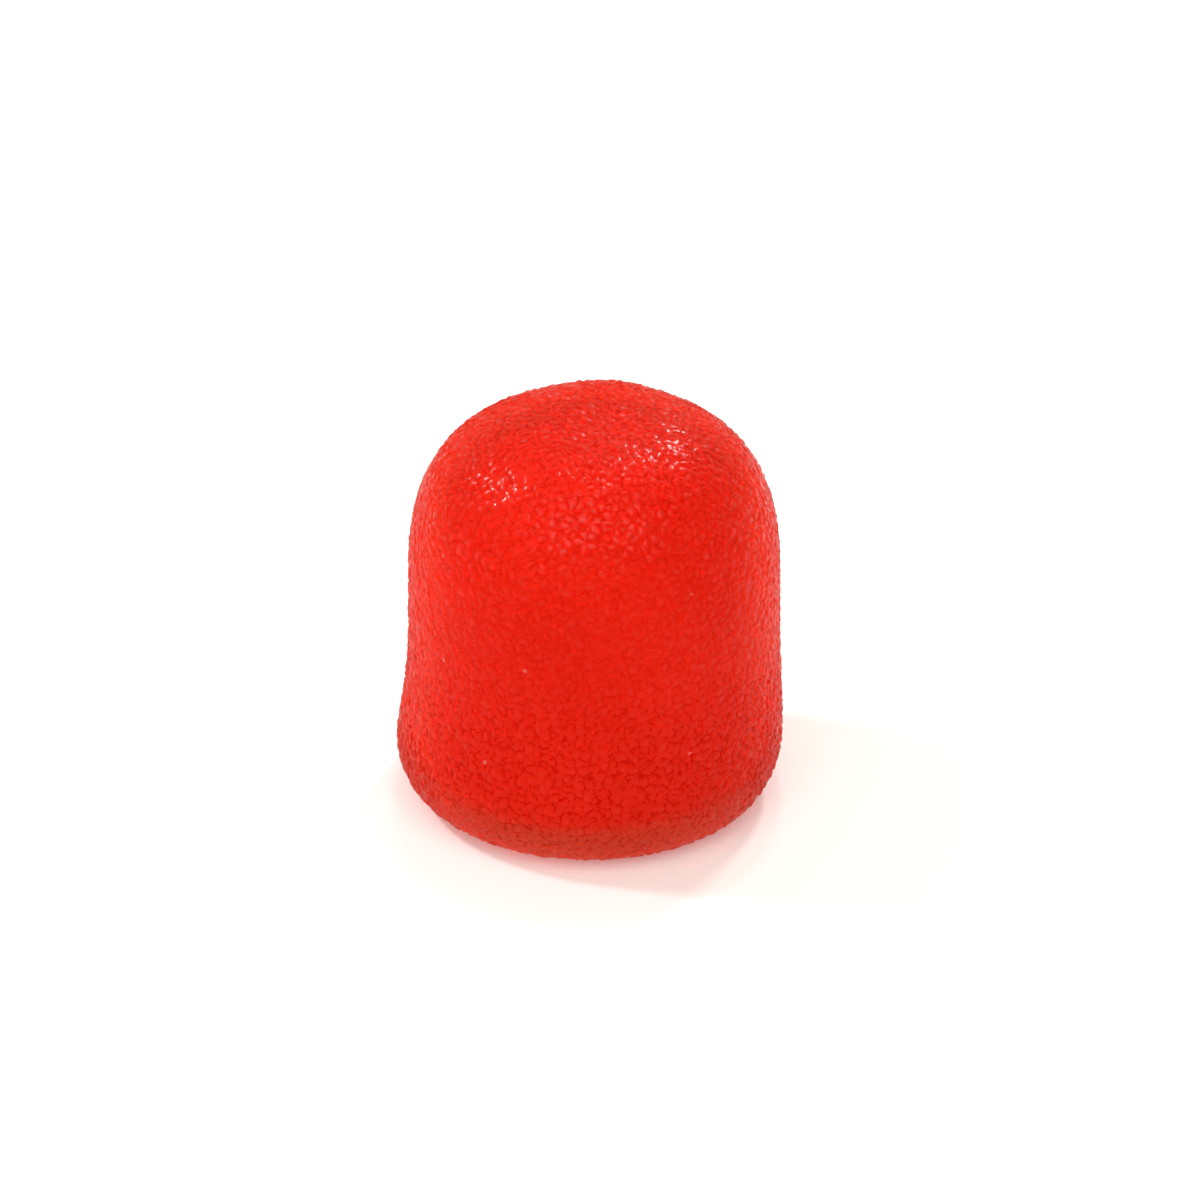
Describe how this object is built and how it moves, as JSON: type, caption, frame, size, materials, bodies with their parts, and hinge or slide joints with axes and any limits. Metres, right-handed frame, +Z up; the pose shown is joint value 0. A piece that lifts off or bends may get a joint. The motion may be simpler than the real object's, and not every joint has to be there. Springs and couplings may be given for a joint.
{
  "type": "case opening friction ball",
  "caption": "Squat, soft red gel ball with a tacky grained skin, pressed on a watch's screw-down case back to grip it and turn it by hand.",
  "frame": {"origin": "on the plane that the foot stands on, under the middle of the ball", "axes": "+Z up through the crown, -X towards the side where the foot has spread, -Y towards the front"},
  "size_m": [0.0507, 0.05, 0.0545],
  "materials": {
    "grained_skin": "tacky see-through red elastomer with a leather grain",
    "clear_gel": "clear red gel",
    "plug_gel": "smooth see-through red elastomer"
  },
  "bodies": {
    "root": {"grip_skin": "grained_skin", "gel_core": "clear_gel", "fill_plug": "plug_gel"}
  },
  "joints": []
}
